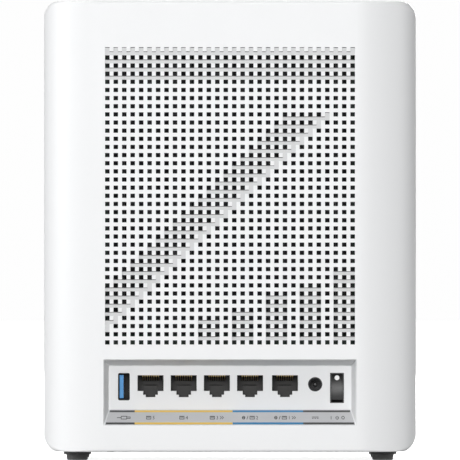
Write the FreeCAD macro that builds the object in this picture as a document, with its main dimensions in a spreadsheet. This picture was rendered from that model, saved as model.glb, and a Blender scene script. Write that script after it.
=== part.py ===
"""A free-standing wireless router: a tall white housing with a perforated rear grille,
a recessed bay of ports near the bottom, and the boards, coolers and antennas that it holds.

Millimetres. The origin is the middle of the footprint, on the surface that the feet rest on.
+X is to the right as seen from behind the ports, the ports face -Y, and +Z is up.
"""

import FreeCAD, Part
import math
import os
import re

import Sketcher
from FreeCAD import Vector

doc = FreeCAD.newDocument("router")
sheet = doc.addObject("Spreadsheet::Sheet", "Sizes")
parts = []

SIZES = {
    # Housing
    "body_width": 171.0,
    "body_depth": 104.0,
    "body_base": 4.3,
    "body_top": 210.5,
    "plan_radius": 27.0,
    "top_radius": 7.0,
    "base_radius": 7.5,
    "edge_radius": 1.2,
    "shoulder_angle": 55.0,
    "shoulder_radius": 1.9,
    "wall": 2.2,
    "lip_length": 3.0,
    "lip_thickness": 1.2,
    "lip_gap": 0.15,
    # Rear grille
    "grille_width": 116.6,
    "grille_base": 51.5,
    "grille_top": 191.5,
    "hole_columns": 30,
    "hole_rows": 37,
    "hole_width": 2.05,
    "hole_height": 1.94,
    "column_pitch": 3.865,
    "row_pitch": 3.72,
    "first_row": 188.33,
    "relief_depth": 1.1,
    "ledge_slope": 0.28,
    "grille_flange": 2.4,
    # Port bay
    "bay_mouth_width": 115.6,
    "bay_mouth_base": 16.3,
    "bay_mouth_top": 46.6,
    "bay_panel_width": 111.1,
    "bay_panel_base": 23.3,
    "bay_panel_top": 43.65,
    "bay_depth": 10.0,
    "panel_thickness": 1.6,
    "label_thickness": 0.25,
    # Network jacks
    "jack_first": -36.4,
    "jack_pitch": 15.19,
    "jack_last_shift": 0.81,
    "jack_width": 14.2,
    "jack_base": 27.6,
    "jack_top": 41.2,
    "jack_cavity": 12.0,
    "socket_width": 11.9,
    "socket_base": 32.0,
    "socket_top": 39.25,
    "latch_width": 6.7,
    "latch_base": 30.27,
    "latch_step_width": 4.44,
    "latch_step_base": 29.2,
    "stop_width": 6.2,
    "stop_top": 34.2,
    "stop_depth": 2.0,
    "stop_slot": 0.5,
    "pin_width": 0.45,
    "pin_pitch": 1.02,
    "shield_gap": 0.1,
    "shield_sheet": 0.3,
    # Serial port
    "usb_x": -48.6,
    "usb_z": 34.0,
    "usb_width": 5.4,
    "usb_height": 12.55,
    "usb_sheet": 0.35,
    "usb_corner": 0.8,
    "usb_length": 14.0,
    "usb_rim_width": 7.4,
    "usb_rim_height": 14.2,
    "usb_rim_depth": 0.6,
    "usb_back": 3.0,
    "tongue_thickness": 1.8,
    "tongue_height": 10.6,
    "tongue_length": 8.6,
    # Power inlet
    "inlet_x": 39.0,
    "inlet_z": 35.08,
    "inlet_collar": 6.6,
    "inlet_bore": 5.0,
    "inlet_entry": 0.4,
    "inlet_pin": 2.0,
    "inlet_depth": 10.0,
    # Power switch
    "switch_x": 49.0,
    "switch_z": 33.42,
    "switch_width": 6.41,
    "switch_height": 13.83,
    "switch_rim": 0.43,
    "rocker_width": 5.3,
    "rocker_half_height": 5.9,
    "rocker_tilt": 8.0,
    "rocker_edge": 2.5,
    "rocker_crown": 3.1,
    "rocker_back": 1.6,
    "rocker_back_corner": 1.4,
    "pivot_diameter": 1.6,
    "pivot_back": 3.6,
    "switch_back": -29.0,
    "switch_room_depth": 8.5,
    "bearing_depth": 1.1,
    "stub_length": 0.9,
    # Boards
    "board_rear": -25.6,
    "board_thickness": 1.6,
    "board_width": 128.0,
    "board_base": 11.0,
    "board_top": 199.0,
    "frame_rear": 6.0,
    "frame_thickness": 3.0,
    "frame_width": 144.0,
    "frame_top": 200.0,
    "screw_hole": 3.2,
    "screw_shank": 2.6,
    "screw_head": 5.2,
    "screw_head_height": 1.8,
    "board_screw_x": 60.0,
    "board_screw_base": 20.0,
    "board_screw_top": 192.0,
    "cover_screw_x": 64.0,
    "cover_screw_base": 44.0,
    "cover_screw_top": 168.0,
    "base_screw_x": 50.0,
    "base_screw_rear": -8.0,
    "base_screw_front": 18.0,
    "pillar_diameter": 7.0,
    "frame_foot_width": 116.0,
    "antenna_length": 60.0,
    "antenna_thickness": 1.0,
    "antenna_rear": -16.0,
    "antenna_front": 30.0,
    # Chips and coolers
    "chip_side": 24.0,
    "chip_height": 1.2,
    "network_z": 122.0,
    "processor_x": -20.0,
    "processor_z": 130.0,
    "can_left": 8.0,
    "can_right": 52.0,
    "can_base": 84.0,
    "can_top": 150.0,
    "can_height": 2.6,
    "can_sheet": 0.3,
    "rear_cooler_gap": 2.2,
    "front_cooler_gap": 3.5,
    "cooler_width": 112.0,
    "cooler_top": 186.0,
    # Status light
    "light_z": 31.5,
    "light_post": 3.0,
    "light_post_x": 12.0,
    "light_board_rear": 42.0,
    "light_board_front": 43.2,
    "light_pipe_rear": 46.0,
    "light_slot_width": 20.0,
    "light_slot_height": 2.4,
    # Base, buttons and feet
    "base_width": 154.4,
    "base_depth": 84.0,
    "base_corner": 18.0,
    "base_flange": 1.5,
    "vent_row_width": 72.0,
    "vent_row_rear": -20.0,
    "vent_row_front": 30.0,
    "vent_slot_width": 2.0,
    "vent_slot_length": 12.0,
    "wps_x": -54.9,
    "reset_x": -46.0,
    "button_y": -36.0,
    "wps_diameter": 3.4,
    "wps_stand_out": 0.5,
    "reset_diameter": 1.8,
    "button_gap": 0.1,
    "foot_x": 70.2,
    "foot_y": 24.5,
    "foot_flange": 12.75,
    "foot_flange_base": 2.74,
    "foot_top": 10.3,
    "foot_base": 9.5,
    "foot_stem": 4.0,
}

for row, (alias, value) in enumerate(SIZES.items(), start=1):
    sheet.set("A%d" % row, alias)
    sheet.set("B%d" % row, str(value))
    sheet.setAlias("B%d" % row, alias)
doc.recompute()

SIZE_WORD = re.compile(r"\b(%s)\b" % "|".join(SIZES))

# Planes that many pieces share, as formulas of the sheet's sizes
REAR_FACE = "(-body_depth / 2)"
REAR_INSIDE = "(-body_depth / 2 + wall)"
FRONT_INSIDE = "(body_depth / 2 - wall)"
PANEL_FRONT = "(-body_depth / 2 + bay_depth)"
PANEL_BACK = "(-body_depth / 2 + bay_depth + panel_thickness)"
BOARD_FRONT = "(board_rear + board_thickness)"
FRAME_FRONT = "(frame_rear + frame_thickness)"
BASE_TOP = "(body_base + wall)"
FLANGE_TOP = "(body_base + wall + base_flange)"
JACK_DEPTH = "(board_rear - %s)" % PANEL_BACK


def size(alias):
    """One driving dimension, read back from the sheet."""
    return float(sheet.get(alias))


def bind(item, field, formula):
    """Ties a property to a formula of the sheet's sizes."""
    item.setExpression(field, SIZE_WORD.sub(r"Sizes.\1", str(formula)))


def place(item, x="0", y="0", z="0"):
    for axis, formula in (("x", x), ("y", y), ("z", z)):
        bind(item, "Placement.Base." + axis, formula)


def keep(item, label=None):
    """Marks an object as one finished piece of the router."""
    if label:
        item.Label = label
    parts.append(item)
    return item


def box(name, spans):
    """A Part box from its (low, high) formulas along X, Y and Z."""
    item = doc.addObject("Part::Box", name)
    for field, (low, high) in zip(("Length", "Width", "Height"), spans):
        bind(item, field, "(%s) - (%s)" % (high, low))
    place(item, *[low for low, high in spans])
    return item


def across(width, x="0"):
    """A span of that width, centred on x."""
    return ("(%s) - (%s) / 2" % (x, width), "(%s) + (%s) / 2" % (x, width))


def cylinder_y(name, diameter, x, z, low, high):
    """A Part cylinder along Y."""
    item = doc.addObject("Part::Cylinder", name)
    bind(item, "Radius", "(%s) / 2" % diameter)
    bind(item, "Height", "(%s) - (%s)" % (high, low))
    item.Placement.Rotation = FreeCAD.Rotation(Vector(1, 0, 0), -90)
    place(item, x, low, z)
    return item


def cylinder_z(name, diameter, x, y, low, high):
    """A Part cylinder along Z."""
    item = doc.addObject("Part::Cylinder", name)
    bind(item, "Radius", "(%s) / 2" % diameter)
    bind(item, "Height", "(%s) - (%s)" % (high, low))
    place(item, x, y, low)
    return item


def fused(name, items):
    item = doc.addObject("Part::MultiFuse", name)
    item.Shapes = items
    return item


def cut(name, base, tool):
    item = doc.addObject("Part::Cut", name)
    item.Base = base
    item.Tool = tool
    return item


def common(name, base, tool):
    item = doc.addObject("Part::Common", name)
    item.Base = base
    item.Tool = tool
    return item


def group(name, items):
    """Several separate solids that count as one piece, such as a set of screws."""
    item = doc.addObject("Part::Compound", name)
    item.Links = items
    return keep(item)


def rounded(name, base, wanted):
    """A Part fillet; wanted gives each edge's radius, or 0 to leave it sharp."""
    doc.recompute()
    item = doc.addObject("Part::Fillet", name)
    item.Base = base
    chosen = []
    for number, edge in enumerate(base.Shape.Edges, start=1):
        radius = wanted(edge)
        if radius > 0:
            chosen.append((number, radius, radius))
    item.Edges = chosen
    return item


def runs_along(edge, direction):
    if not isinstance(edge.Curve, Part.Line):
        return False
    return abs(abs(edge.Curve.Direction.dot(direction)) - 1) < 1e-6


def edges_along(shape, direction):
    """The names of a shape's straight edges that run along a direction."""
    names = []
    for number, edge in enumerate(shape.Edges, start=1):
        if runs_along(edge, direction):
            names.append("Edge%d" % number)
    return names


# ---- PartDesign helpers ---------------------------------------------------------------


def new_body(name, x="0", y="0", z="0"):
    body = doc.addObject("PartDesign::Body", name)
    place(body, x, y, z)
    return keep(body)


def sketch_on(body, name, plane="XZ_Plane", offset="0"):
    """A sketch on one of the body's origin planes, lifted by offset along its normal."""
    sketch = body.newObject("Sketcher::SketchObject", name)
    origin_plane = next(item for item in body.Origin.OriginFeatures if item.Role == plane)
    sketch.AttachmentSupport = [(origin_plane, "")]
    sketch.MapMode = "FlatFace"
    bind(sketch, "AttachmentOffset.Base.z", offset)
    return sketch


def hold_point(sketch, geometry, point, x, y, now):
    """Dimensions one point of a sketch from the origin."""
    for kind, formula, value in (("DistanceX", x, now.x), ("DistanceY", y, now.y)):
        constraint = Sketcher.Constraint(kind, -1, 1, geometry, point, value)
        number = sketch.addConstraint(constraint)
        bind(sketch, "Constraints[%d]" % number, formula)


def outline(sketch, points):
    """A closed straight-sided outline through points given as pairs of formulas."""
    first = sketch.GeometryCount
    count = len(points)
    spots = []
    for index in range(count):
        angle = 2 * math.pi * index / count
        spots.append(Vector(math.cos(angle), math.sin(angle), 0))
    for index in range(count):
        sketch.addGeometry(Part.LineSegment(spots[index], spots[(index + 1) % count]))
    for index in range(count):
        following = first + (index + 1) % count
        sketch.addConstraint(Sketcher.Constraint("Coincident", first + index, 2, following, 1))
    for index, (x, y) in enumerate(points):
        hold_point(sketch, first + index, 1, x, y, spots[index])


def rectangle(sketch, span_x, span_y):
    (left, right), (low, high) = span_x, span_y
    outline(sketch, [(left, low), (right, low), (right, high), (left, high)])


def circle(sketch, diameter, x="0", y="0"):
    number = sketch.addGeometry(Part.Circle(Vector(0, 0, 0), Vector(0, 0, 1), 1))
    round_one = sketch.addConstraint(Sketcher.Constraint("Diameter", number, 2))
    bind(sketch, "Constraints[%d]" % round_one, diameter)
    hold_point(sketch, number, 3, x, y, Vector(0, 0, 0))


def pad(body, name, sketch, length, midplane=False):
    item = body.newObject("PartDesign::Pad", name)
    item.Profile = sketch
    item.Midplane = midplane
    bind(item, "Length", length)
    return item


def pocket(body, name, sketch, length):
    """Cuts back against the sketch's normal."""
    item = body.newObject("PartDesign::Pocket", name)
    item.Profile = sketch
    bind(item, "Length", length)
    return item


def revolve(body, name, sketch):
    item = body.newObject("PartDesign::Revolution", name)
    item.Profile = sketch
    item.ReferenceAxis = (sketch, ["V_Axis"])
    item.Angle = 360
    return item


def repeat(body, name, feature, sketch, axis, span, count):
    """A linear pattern of a feature along one axis of its sketch."""
    item = body.newObject("PartDesign::LinearPattern", name)
    item.Originals = [feature]
    item.Direction = (sketch, [axis])
    bind(item, "Length", span)
    item.Occurrences = count
    body.Tip = item
    return item


def block_body(name, span_x, span_z, rear, front):
    """A flat block standing in the XZ plane, from its rear to its front face."""
    body = new_body(name, y=front)
    face = sketch_on(body, name + "_face")
    rectangle(face, span_x, span_z)
    pad(body, name + "_block", face, "(%s) - (%s)" % (front, rear))
    return body


# ---- Housing --------------------------------------------------------------------------


def plan_wire(z):
    """The housing's plan: straight sides and round corners, each corner in two arcs."""
    radius = size("plan_radius")
    flat_x = size("body_width") / 2 - radius
    flat_y = size("body_depth") / 2 - radius
    shoulder = size("shoulder_angle")
    corners = [
        (flat_x, -flat_y, (-90, shoulder - 90, 0)),
        (flat_x, flat_y, (0, 90 - shoulder, 90)),
        (-flat_x, flat_y, (90, 90 + shoulder, 180)),
        (-flat_x, -flat_y, (180, 270 - shoulder, 270)),
    ]

    def on_corner(x, y, angle):
        turn = math.radians(angle)
        return Vector(x + radius * math.cos(turn), y + radius * math.sin(turn), z)

    edges = []
    for index, (x, y, angles) in enumerate(corners):
        last_x, last_y, last_angles = corners[index - 1]
        side_start = on_corner(last_x, last_y, last_angles[-1])
        edges.append(Part.LineSegment(side_start, on_corner(x, y, angles[0])).toShape())
        for start, end in zip(angles[:-1], angles[1:]):
            spots = [on_corner(x, y, angle) for angle in (start, (start + end) / 2, end)]
            edges.append(Part.Arc(*spots).toShape())
    return Part.Wire(edges)


def rim_radius(point, side_radius):
    """How round the housing's top or bottom rim is at a point: little at the front and
    rear, more past the shoulder of each corner, and most along the sides."""
    past_x = abs(point.x) - (size("body_width") / 2 - size("plan_radius"))
    past_y = abs(point.y) - (size("body_depth") / 2 - size("plan_radius"))
    if past_x < 0.001:
        return size("edge_radius")
    if past_y < 0.001:
        return side_radius
    return size("shoulder_radius")


def outer_skin():
    """The outside of the whole housing, as one solid block."""
    base, top = size("body_base"), size("body_top")
    prism = doc.addObject("Part::Feature", "outer_prism")
    prism.Shape = Part.Face(plan_wire(base)).extrude(Vector(0, 0, top - base))
    skin = doc.addObject("Part::Fillet", "outer_skin")
    skin.Base = prism
    rims = []
    for number, edge in enumerate(prism.Shape.Edges, start=1):
        first, last = edge.valueAt(edge.FirstParameter), edge.valueAt(edge.LastParameter)
        if abs(first.z - last.z) < 0.001:
            side_radius = size("top_radius" if first.z > base + 1 else "base_radius")
            rims.append((number, rim_radius(first, side_radius), rim_radius(last, side_radius)))
    skin.Edges = rims
    return skin


def housing_form(name, inset):
    """The housing's inner form, inset from its outside: a plan with large round corners,
    cut to a rear profile with small round corners."""
    spans = [
        across("body_width - 2 * (%s)" % inset),
        across("body_depth - 2 * (%s)" % inset),
        ("body_base + (%s)" % inset, "body_top - (%s)" % inset),
    ]
    doc.recompute()
    margin = sum(size(alias) for alias in inset.split(" + "))
    middle_height = (size("body_base") + size("body_top")) / 2

    def plan_corner(edge):
        if not runs_along(edge, Vector(0, 0, 1)):
            return 0
        return size("plan_radius") - margin

    def profile_corner(edge):
        if not runs_along(edge, Vector(0, 1, 0)):
            return 0
        upper = edge.CenterOfMass.z > middle_height
        return size("top_radius" if upper else "base_radius") - margin

    plan = rounded(name + "_plan", box(name + "_plan_block", spans), plan_corner)
    profile = rounded(name + "_profile", box(name + "_profile_block", spans), profile_corner)
    return common(name, plan, profile)


def rounded_plate(name, width, depth, corner, low, high):
    """A horizontal plate with round corners, centred on the origin."""
    plate = box(name + "_block", [across(width), across(depth), (low, high)])
    return rounded(name, plate, lambda edge: corner if runs_along(edge, Vector(0, 0, 1)) else 0)


def bay_cavity(name):
    """The recess in front of the ports, which narrows from its mouth to its panel."""
    item = doc.addObject("Part::Wedge", name)
    bind(item, "Ymin", REAR_FACE)
    bind(item, "Ymax", PANEL_FRONT)
    bind(item, "Xmin", "-bay_mouth_width / 2")
    bind(item, "Xmax", "bay_mouth_width / 2")
    bind(item, "Zmin", "bay_mouth_base")
    bind(item, "Zmax", "bay_mouth_top")
    bind(item, "X2min", "-bay_panel_width / 2")
    bind(item, "X2max", "bay_panel_width / 2")
    bind(item, "Z2min", "bay_panel_base")
    bind(item, "Z2max", "bay_panel_top")
    return item


def screw_spots(x, low, high):
    """Four places, on the left and right at two heights."""
    return [(side + x, level) for side in ("-", "") for level in (low, high)]


def make_covers():
    """The rear and front halves of the housing, which meet at mid-depth."""
    inner = housing_form("inner_form", "wall")
    lip_outer = housing_form("lip_outer_form", "wall + lip_gap")
    lip_inner = housing_form("lip_inner_form", "wall + lip_gap + lip_thickness")
    shell = cut("whole_shell", outer_skin(), inner)
    wide = across("2 * body_width")
    tall = ("0", "body_top + wall")
    base_opening = rounded_plate(
        "base_opening", "base_width", "base_depth", size("base_corner"), "0", BASE_TOP
    )

    rear_half = common("rear_half", shell, box("rear_room", [wide, ("-body_depth", "0"), tall]))
    grille_opening = box(
        "grille_opening",
        [across("grille_width"), (REAR_FACE, REAR_INSIDE), ("grille_base", "grille_top")],
    )
    openings = fused("rear_openings", [grille_opening, bay_cavity("mouth"), base_opening])
    keep(cut("rear_cover", rear_half, openings))

    front_half = common("front_half", shell, box("front_room", [wide, ("0", "body_depth"), tall]))
    lip_room = box("lip_room", [wide, ("-lip_length", "wall"), tall])
    foot_room = box("lip_foot_room", [wide, ("0", "wall"), tall])
    lip = common("lip", cut("lip_ring", lip_outer, lip_inner), lip_room)
    lip_foot = common("lip_foot", cut("lip_foot_ring", inner, lip_inner), foot_room)
    pieces = [front_half, lip, lip_foot]
    for number, (x, z) in enumerate(screw_spots("cover_screw_x", "cover_screw_base", "cover_screw_top")):
        pieces.append(
            cylinder_y(
                "pillar_%d" % number, "pillar_diameter", x, z, FRAME_FRONT, FRONT_INSIDE + " + 0.1"
            )
        )
    for number, side in enumerate(("-", "")):
        pieces.append(
            cylinder_y(
                "light_post_%d" % number,
                "light_post",
                side + "light_post_x",
                "light_z",
                "light_board_front",
                FRONT_INSIDE + " + 0.5",
            )
        )
    holes = [
        rounded_plate(
            "flange_room",
            "base_width + 3",
            "base_depth + 6",
            size("base_corner"),
            BASE_TOP,
            FLANGE_TOP + " + 0.5",
        ),
        base_opening,
        box(
            "light_slot",
            [
                across("light_slot_width"),
                ("light_board_rear - 2", "body_depth"),
                across("light_slot_height", "light_z"),
            ],
        ),
    ]
    for number, (x, z) in enumerate(screw_spots("cover_screw_x", "cover_screw_base", "cover_screw_top")):
        holes.append(
            cylinder_y("pillar_hole_%d" % number, "screw_hole", x, z, FRAME_FRONT, FRAME_FRONT + " + 10")
        )
    keep(cut("front_cover", fused("front_pieces", pieces), fused("front_openings", holes)))


def make_base_plate():
    """The plate that closes the bottom: vent slots, and holes for feet, buttons and screws."""
    body = new_body("base_plate", z="body_base")
    plate = sketch_on(body, "base_plate_outline", "XY_Plane")
    rectangle(plate, across("base_width"), across("base_depth"))
    pad(body, "base_plate_slab", plate, "wall")
    doc.recompute()
    corners = body.newObject("PartDesign::Fillet", "base_plate_corners")
    slab = doc.getObject("base_plate_slab")
    corners.Base = (slab, edges_along(slab.Shape, Vector(0, 0, 1)))
    bind(corners, "Radius", "base_corner")
    flange = sketch_on(body, "base_flange_outline", "XY_Plane", "wall")
    rectangle(flange, across("base_width - 36"), across("base_depth + 4"))
    pad(body, "base_flange_slab", flange, "base_flange")
    depth = "wall + base_flange"
    slot_count = 15
    for row, middle in (("rear", "vent_row_rear"), ("front", "vent_row_front")):
        slots = sketch_on(body, row + "_vent_slot", "XY_Plane", depth)
        first_slot = ("-vent_row_width / 2", "-vent_row_width / 2 + vent_slot_width")
        rectangle(slots, first_slot, across("vent_slot_length", middle))
        slot = pocket(body, row + "_vent_slot_cut", slots, depth)
        span = "vent_row_width - vent_slot_width"
        repeat(body, row + "_vent_slots", slot, slots, "H_Axis", span, slot_count)
    holes = sketch_on(body, "base_plate_holes", "XY_Plane", depth)
    circle(holes, "wps_diameter + 2 * button_gap", "wps_x", "button_y")
    circle(holes, "reset_diameter + 2 * button_gap", "reset_x", "button_y")
    for x, y in screw_spots("foot_x", "-foot_y", "foot_y"):
        circle(holes, "foot_stem + 0.6", x, y)
    for x, y in screw_spots("base_screw_x", "base_screw_rear", "base_screw_front"):
        circle(holes, "screw_hole", x, y)
    pocket(body, "base_plate_hole_cut", holes, depth)
    sinks = sketch_on(body, "screw_sinks", "XY_Plane", "screw_head_height")
    for x, y in screw_spots("base_screw_x", "base_screw_rear", "base_screw_front"):
        circle(sinks, "screw_head + 0.6", x, y)
    pocket(body, "screw_sink_cut", sinks, "screw_head_height")


# ---- Rear grille ----------------------------------------------------------------------

OPEN, LOW, SLOPE, TOP = "open", "low", "slope", "top"


def grille_levels():
    """What each cell of the grille is: an open hole, sunk relief or the top face.

    Cells lie between the edges of the holes, so odd columns and odd rows cross at a hole.
    The relief is sunk into the strips between rows of holes: a band along the top, a
    slanting stripe of steps, and a row of five bars that grow to the right.
    """
    columns = int(size("hole_columns"))
    rows = int(size("hole_rows"))
    last = columns - 1
    cells = {}
    for column in range(2 * columns + 1):
        for row in range(2 * rows + 1):
            hole = column % 2 == 1 and row % 2 == 1
            cells[column, row] = OPEN if hole else TOP

    def sink(gap, first, final):
        for column in range(2 * first + 1, 2 * final + 2):
            cells[column, 2 * gap + 2] = LOW

    band_gaps = 4
    for column in range(columns):
        cells[2 * column + 1, 1] = LOW
    for gap in range(band_gaps):
        sink(gap, 0, last)

    stripe_start = 8
    stripe_holes = 5
    for gap in range(stripe_start, columns + stripe_holes):
        right = columns + stripe_holes - 1 - gap
        sink(gap, max(0, right - stripe_holes), min(last, right))
        cells[2 * right + 1, 2 * gap + 1] = LOW

    bar_base_gap = 35
    for bar in range(5):
        left = 11 + 4 * bar
        for gap in range(bar_base_gap - 2 - bar - bar // 2, bar_base_gap + 1):
            sink(gap, left, left + 2)
    return cells


def grille_lines():
    """The X and Z places of the edges between the grille's cells."""
    columns = int(size("hole_columns"))
    rows = int(size("hole_rows"))
    xs = [-size("grille_width") / 2]
    for column in range(columns):
        middle = (column - (columns - 1) / 2) * size("column_pitch")
        xs += [middle - size("hole_width") / 2, middle + size("hole_width") / 2]
    xs.append(size("grille_width") / 2)
    zs = [size("grille_top")]
    for row in range(rows):
        middle = size("first_row") - row * size("row_pitch")
        zs += [middle + size("hole_height") / 2, middle - size("hole_height") / 2]
    zs.append(size("grille_base"))
    return xs, zs


def with_ledges(cells, zs):
    """Splits each row that holds sunk relief, so that the relief starts with a slope.

    The slope runs down from the top face to the sunk level over a short height.
    """
    columns = 1 + max(column for column, row in cells)
    split_cells = {}
    split_zs = [zs[0]]
    for row in range(len(zs) - 1):
        kinds = [cells[column, row] for column in range(columns)]
        if LOW in kinds:
            for column, kind in enumerate(kinds):
                starts_here = kind == LOW and cells[column, row - 1] != LOW
                split_cells[column, len(split_zs) - 1] = SLOPE if starts_here else kind
            split_zs.append(zs[row] - size("ledge_slope"))
        for column, kind in enumerate(kinds):
            split_cells[column, len(split_zs) - 1] = kind
        split_zs.append(zs[row + 1])
    return split_cells, split_zs


def grille_faces(cells, xs, zs):
    """Every face of the grille: the strips at each level, and the walls between them."""
    front = -size("body_depth") / 2
    sunk = front + size("relief_depth")
    back = front + size("wall")
    upper_depth = {TOP: front, SLOPE: front, LOW: sunk, OPEN: back}
    lower_depth = {TOP: front, SLOPE: sunk, LOW: sunk, OPEN: back}
    faces = []

    def kind_at(column, row):
        return cells.get((column, row), OPEN)

    def through(column, row, start, end):
        """The points on the line through a crossing, from depth start to depth end."""
        depths = {start, end}
        for side in (column - 1, column):
            depths.add(lower_depth[kind_at(side, row - 1)])
            depths.add(upper_depth[kind_at(side, row)])
        between = [y for y in sorted(depths) if min(start, end) <= y <= max(start, end)]
        if start > end:
            between.reverse()
        return [Vector(xs[column], y, zs[row]) for y in between]

    def add(points):
        around = [point for index, point in enumerate(points) if point != points[index - 1]]
        if len(around) > 2:
            faces.append(Part.Face(Part.makePolygon(around + around[:1])))

    def add_strips(row, sort, upper_y, lower_y):
        column = 0
        while column < len(xs) - 1:
            kind = sort(kind_at(column, row))
            first = column
            while column < len(xs) - 1 and sort(kind_at(column, row)) == kind:
                column += 1
            if kind != OPEN:
                upper = [Vector(x, upper_y(kind), zs[row]) for x in xs[first:column + 1]]
                lower = [Vector(x, lower_y(kind), zs[row + 1]) for x in xs[first:column + 1]]
                add(upper + lower[::-1])

    for row in range(len(zs) - 1):
        add_strips(row, lambda kind: kind, upper_depth.get, lower_depth.get)
        add_strips(row, lambda kind: OPEN if kind == OPEN else TOP, lambda kind: back, lambda kind: back)
        for column in range(len(xs)):
            left, right = kind_at(column - 1, row), kind_at(column, row)
            if left != right:
                upper = through(column, row, upper_depth[left], upper_depth[right])
                lower = through(column, row + 1, lower_depth[right], lower_depth[left])
                add(upper + lower)
    for row in range(len(zs)):
        for column in range(len(xs) - 1):
            above = lower_depth[kind_at(column, row - 1)]
            below = upper_depth[kind_at(column, row)]
            if above != below:
                add(through(column, row, above, below) + through(column + 1, row, below, above))
    return faces


def make_grille():
    """The perforated rear panel, flush with the rear cover."""
    xs, zs = grille_lines()
    cells, zs = with_ledges(grille_levels(), zs)
    skin = Part.makeCompound(grille_faces(cells, xs, zs))
    skin.sewShape()
    item = doc.addObject("Part::Feature", "vent_grille")
    item.Shape = Part.Solid(skin.Shells[0])
    keep(item)


# ---- Port bay and ports ---------------------------------------------------------------


def jack_centre(index):
    """The X formula of one of the five network jacks; the last stands a little apart."""
    shift = " + jack_last_shift" if index == 4 else ""
    return "jack_first + %d * jack_pitch%s" % (index, shift)


def make_port_bay():
    """The tray behind the rear cover, with one opening for each port in its panel."""
    outer = doc.addObject("Part::Wedge", "bay_outside")
    bind(outer, "Ymin", REAR_INSIDE)
    bind(outer, "Ymax", PANEL_BACK)
    bind(outer, "Xmin", "-bay_mouth_width / 2 - 0.65")
    bind(outer, "Xmax", "bay_mouth_width / 2 + 0.65")
    bind(outer, "Zmin", "bay_mouth_base - 1.4")
    bind(outer, "Zmax", "bay_mouth_top + 1.4")
    bind(outer, "X2min", "-bay_panel_width / 2 - 1.5")
    bind(outer, "X2max", "bay_panel_width / 2 + 1.5")
    bind(outer, "Z2min", "bay_panel_base - 1.5")
    bind(outer, "Z2max", "bay_panel_top + 1.75")
    through = (PANEL_FRONT + " - 1", PANEL_BACK)
    tools = [bay_cavity("bay_room")]
    for index in range(5):
        x = jack_centre(index)
        heights = [
            ("socket_width", "socket_base", "socket_top"),
            ("latch_width", "latch_base", "socket_base"),
            ("latch_step_width", "latch_step_base", "latch_base"),
        ]
        for step, (width, low, high) in enumerate(heights):
            name = "jack_opening_%d_%d" % (index + 1, step)
            tools.append(box(name, [across(width, x), through, (low, high)]))
    usb_hole = box(
        "usb_opening_block",
        [across("usb_width", "usb_x"), through, across("usb_height", "usb_z")],
    )
    tools.append(
        rounded(
            "usb_opening",
            usb_hole,
            lambda edge: size("usb_corner") if runs_along(edge, Vector(0, 1, 0)) else 0,
        )
    )
    rim_low = PANEL_FRONT + " - 1"
    rim_high = PANEL_FRONT + " + usb_rim_depth"
    tools.append(
        box(
            "usb_rim",
            [across("usb_rim_width", "usb_x"), (rim_low, rim_high), across("usb_rim_height", "usb_z")],
        )
    )
    tools.append(cylinder_y("inlet_opening", "inlet_collar", "inlet_x", "inlet_z", *through))
    tools.append(
        box(
            "switch_opening",
            [across("switch_width", "switch_x"), through, across("switch_height", "switch_z")],
        )
    )
    keep(cut("port_bay", outer, fused("bay_openings", tools)))


def make_port_label():
    """The thin grey label on the bay's sloping lower wall."""
    item = doc.addObject("Part::Wedge", "port_label")
    slope = "(bay_panel_base - bay_mouth_base) / bay_depth"
    taper = "(bay_mouth_width - bay_panel_width) / 2 / bay_depth"
    near, far = "0.35", "(bay_depth - 0.1)"
    bind(item, "Ymin", "%s + %s" % (REAR_FACE, near))
    bind(item, "Ymax", "%s + %s" % (REAR_FACE, far))
    for prefix, distance in (("", near), ("2", far)):
        half = "(bay_mouth_width / 2 - 0.55 - %s * %s)" % (taper, distance)
        low = "bay_mouth_base + %s * %s" % (slope, distance)
        bind(item, "X%smin" % prefix, "-" + half)
        bind(item, "X%smax" % prefix, half)
        bind(item, "Z%smin" % prefix, low)
        bind(item, "Z%smax" % prefix, low + " + label_thickness")
    keep(item)


def make_jack(index):
    """A network jack's housing: a stepped socket, and at its back a stop under a slot."""
    number = index + 1
    body = new_body("ethernet_jack_%d" % number, x=jack_centre(index), y="board_rear")
    face = sketch_on(body, "jack_%d_face" % number)
    rectangle(face, across("jack_width"), ("jack_base", "jack_top"))
    pad(body, "jack_%d_block" % number, face, JACK_DEPTH)
    mouth = sketch_on(body, "jack_%d_mouth" % number, offset=JACK_DEPTH)
    half_steps = [
        ("socket_width / 2", "socket_top"),
        ("socket_width / 2", "socket_base"),
        ("latch_width / 2", "socket_base"),
        ("latch_width / 2", "latch_base"),
        ("latch_step_width / 2", "latch_base"),
        ("latch_step_width / 2", "latch_step_base"),
    ]
    mirrored = [("-" + x, z) for x, z in reversed(half_steps)]
    outline(mouth, half_steps + mirrored)
    pocket(body, "jack_%d_socket" % number, mouth, "jack_cavity")
    stop = sketch_on(body, "jack_%d_stop_face" % number, offset="%s - jack_cavity" % JACK_DEPTH)
    outline(
        stop,
        [
            ("-stop_width / 2", "stop_top"),
            ("-stop_width / 2", "latch_base"),
            ("-latch_step_width / 2", "latch_base"),
            ("-latch_step_width / 2", "latch_step_base"),
            ("latch_step_width / 2", "latch_step_base"),
            ("latch_step_width / 2", "latch_base"),
            ("stop_width / 2", "latch_base"),
            ("stop_width / 2", "stop_top"),
        ],
    )
    pad(body, "jack_%d_stop" % number, stop, "stop_depth")
    slot = sketch_on(body, "jack_%d_slot_face" % number, offset="%s - jack_cavity" % JACK_DEPTH)
    rectangle(slot, across("stop_width"), ("stop_top", "stop_top + stop_slot"))
    pocket(body, "jack_%d_slot" % number, slot, "stop_depth")


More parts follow.
